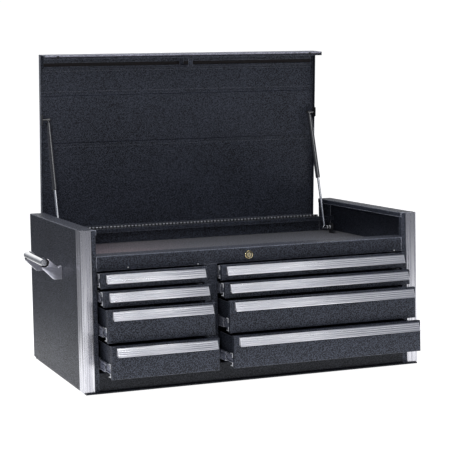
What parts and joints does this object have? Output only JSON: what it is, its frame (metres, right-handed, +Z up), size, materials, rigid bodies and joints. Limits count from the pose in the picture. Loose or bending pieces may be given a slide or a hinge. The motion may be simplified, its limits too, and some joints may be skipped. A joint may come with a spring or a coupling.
{
  "type": "tool chest",
  "caption": "Steel top chest for hand tools: lidded till over two banks of roller-slide drawers, with lift struts, a key lock and side handles.",
  "frame": {"origin": "middle of the case's footprint, on the underside of the base pan, halfway between the trims' front plane and the back panel", "axes": "+X to the chest's right seen from the front, +Y to its back, +Z up"},
  "size_m": [1.168, 0.8057, 0.9632],
  "materials": {
    "case_paint": "fine wrinkle charcoal paint",
    "till_mat": "speckled till mat",
    "trim_aluminium": "brushed lengthways",
    "pull_aluminium": "ribbed, brushed lengthways",
    "slide_zinc": "zinc plated",
    "hinge_steel": "nickel plated",
    "strut_black": "gloss black",
    "strut_chrome": "hard chrome",
    "lock_brass": "polished",
    "handle_chrome": "polished",
    "bracket_metal": "satin casting",
    "bumper_rubber": "matt"
  },
  "bodies": {
    "chest": {"side_panel_left": "case_paint", "side_panel_right": "case_paint", "inner_wall_left": "case_paint", "inner_wall_right": "case_paint", "corner_trim_left": "trim_aluminium", "corner_trim_right": "trim_aluminium", "base_pan": "case_paint", "back_panel": "case_paint", "top_rail": "case_paint", "bottom_rail": "case_paint", "center_divider": "case_paint", "till_floor": "case_paint", "till_liner": "till_mat", "hinge_leaf_chest": "hinge_steel", "hinge_pin": "hinge_steel", "strut_brackets_chest": "slide_zinc", "lock_housing": "lock_brass", "handle_grip_left": "handle_chrome", "handle_grip_right": "handle_chrome", "handle_brackets_left": "bracket_metal", "handle_brackets_right": "bracket_metal", "handle_bolts": "slide_zinc", "slide_rails_left": "slide_zinc", "slide_rails_right": "slide_zinc"},
    "lid": {"lid_panel": "case_paint", "lid_stiffener": "case_paint", "lid_corner_band": "case_paint", "hinge_leaf_lid": "hinge_steel", "lid_bumpers": "bumper_rubber", "lock_strike": "hinge_steel", "strut_brackets_lid": "slide_zinc"},
    "strut_rod_left": {"strut_rod_left": "strut_chrome"},
    "strut_cylinder_left": {"strut_cylinder_left": "strut_black"},
    "strut_rod_right": {"strut_rod_right": "strut_chrome"},
    "strut_cylinder_right": {"strut_cylinder_right": "strut_black"},
    "drawer_left_1": {"drawer_left_1": "case_paint", "pull_left_1": "pull_aluminium"},
    "slide_left_1": {"slide_left_1": "slide_zinc"},
    "drawer_left_2": {"drawer_left_2": "case_paint", "pull_left_2": "pull_aluminium"},
    "slide_left_2": {"slide_left_2": "slide_zinc"},
    "drawer_left_3": {"drawer_left_3": "case_paint", "pull_left_3": "pull_aluminium"},
    "slide_left_3": {"slide_left_3": "slide_zinc"},
    "drawer_left_4": {"drawer_left_4": "case_paint", "pull_left_4": "pull_aluminium"},
    "slide_left_4": {"slide_left_4": "slide_zinc"},
    "drawer_right_1": {"drawer_right_1": "case_paint", "pull_right_1": "pull_aluminium"},
    "slide_right_1": {"slide_right_1": "slide_zinc"},
    "drawer_right_2": {"drawer_right_2": "case_paint", "pull_right_2": "pull_aluminium"},
    "slide_right_2": {"slide_right_2": "slide_zinc"},
    "drawer_right_3": {"drawer_right_3": "case_paint", "pull_right_3": "pull_aluminium"},
    "slide_right_3": {"slide_right_3": "slide_zinc"},
    "drawer_right_4": {"drawer_right_4": "case_paint", "pull_right_4": "pull_aluminium"},
    "slide_right_4": {"slide_right_4": "slide_zinc"},
    "lock_plug": {"lock_plug": "lock_brass"}
  },
  "joints": [
    {"name": "lid_hinge", "type": "hinge", "parent": "chest", "child": "lid", "pos_m": [0, 0.306, 0.4047], "axis": [-1, 0, 0], "range_deg": [-86, 0]},
    {"name": "strut_foot_left", "type": "hinge", "parent": "chest", "child": "strut_rod_left", "pos_m": [-0.4525, 0.202, 0.3735], "axis": [-1, 0, 0], "range_deg": [-91.93, 0]},
    {"name": "strut_stroke_left", "type": "slide", "parent": "strut_rod_left", "child": "strut_cylinder_left", "axis": [0, 0.2853, 0.9584], "range_m": [-0.14524, 0]},
    {"name": "strut_foot_right", "type": "hinge", "parent": "chest", "child": "strut_rod_right", "pos_m": [0.4525, 0.202, 0.3735], "axis": [-1, 0, 0], "range_deg": [-91.93, 0]},
    {"name": "strut_stroke_right", "type": "slide", "parent": "strut_rod_right", "child": "strut_cylinder_right", "axis": [0, 0.2853, 0.9584], "range_m": [-0.14524, 0]},
    {"name": "drawer_left_1_open", "type": "slide", "parent": "chest", "child": "drawer_left_1", "axis": [0, -1, 0], "range_m": [-0.034, 0.474]},
    {"name": "slide_left_1_run", "type": "slide", "parent": "chest", "child": "slide_left_1", "axis": [0, -1, 0], "range_m": [-0.017, 0.237]},
    {"name": "drawer_left_2_open", "type": "slide", "parent": "chest", "child": "drawer_left_2", "axis": [0, -1, 0], "range_m": [-0.06, 0.448]},
    {"name": "slide_left_2_run", "type": "slide", "parent": "chest", "child": "slide_left_2", "axis": [0, -1, 0], "range_m": [-0.03, 0.224]},
    {"name": "drawer_left_3_open", "type": "slide", "parent": "chest", "child": "drawer_left_3", "axis": [0, -1, 0], "range_m": [-0.092, 0.416]},
    {"name": "slide_left_3_run", "type": "slide", "parent": "chest", "child": "slide_left_3", "axis": [0, -1, 0], "range_m": [-0.046, 0.208]},
    {"name": "drawer_left_4_open", "type": "slide", "parent": "chest", "child": "drawer_left_4", "axis": [0, -1, 0], "range_m": [-0.123, 0.385]},
    {"name": "slide_left_4_run", "type": "slide", "parent": "chest", "child": "slide_left_4", "axis": [0, -1, 0], "range_m": [-0.0615, 0.1925]},
    {"name": "drawer_right_1_open", "type": "slide", "parent": "chest", "child": "drawer_right_1", "axis": [0, -1, 0], "range_m": [-0.03, 0.478]},
    {"name": "slide_right_1_run", "type": "slide", "parent": "chest", "child": "slide_right_1", "axis": [0, -1, 0], "range_m": [-0.015, 0.239]},
    {"name": "drawer_right_2_open", "type": "slide", "parent": "chest", "child": "drawer_right_2", "axis": [0, -1, 0], "range_m": [-0.056, 0.452]},
    {"name": "slide_right_2_run", "type": "slide", "parent": "chest", "child": "slide_right_2", "axis": [0, -1, 0], "range_m": [-0.028, 0.226]},
    {"name": "drawer_right_3_open", "type": "slide", "parent": "chest", "child": "drawer_right_3", "axis": [0, -1, 0], "range_m": [-0.091, 0.417]},
    {"name": "slide_right_3_run", "type": "slide", "parent": "chest", "child": "slide_right_3", "axis": [0, -1, 0], "range_m": [-0.0455, 0.2085]},
    {"name": "drawer_right_4_open", "type": "slide", "parent": "chest", "child": "drawer_right_4", "axis": [0, -1, 0], "range_m": [-0.12, 0.388]},
    {"name": "slide_right_4_run", "type": "slide", "parent": "chest", "child": "slide_right_4", "axis": [0, -1, 0], "range_m": [-0.06, 0.194]},
    {"name": "lock_turn", "type": "hinge", "parent": "chest", "child": "lock_plug", "pos_m": [-0.019, -0.303, 0.365], "axis": [0, 1, 0], "range_deg": [0, 90]}
  ],
  "couplings": [
    {"joint": "strut_foot_left", "follows": "lid_hinge", "ratio": 1.0655},
    {"joint": "strut_stroke_left", "follows": "lid_hinge", "m_per_rad": 0.096432},
    {"joint": "strut_foot_right", "follows": "lid_hinge", "ratio": 1.0655},
    {"joint": "strut_stroke_right", "follows": "lid_hinge", "m_per_rad": 0.096432},
    {"joint": "slide_left_1_run", "follows": "drawer_left_1_open", "ratio": 0.5},
    {"joint": "slide_left_2_run", "follows": "drawer_left_2_open", "ratio": 0.5},
    {"joint": "slide_left_3_run", "follows": "drawer_left_3_open", "ratio": 0.5},
    {"joint": "slide_left_4_run", "follows": "drawer_left_4_open", "ratio": 0.5},
    {"joint": "slide_right_1_run", "follows": "drawer_right_1_open", "ratio": 0.5},
    {"joint": "slide_right_2_run", "follows": "drawer_right_2_open", "ratio": 0.5},
    {"joint": "slide_right_3_run", "follows": "drawer_right_3_open", "ratio": 0.5},
    {"joint": "slide_right_4_run", "follows": "drawer_right_4_open", "ratio": 0.5}
  ]
}
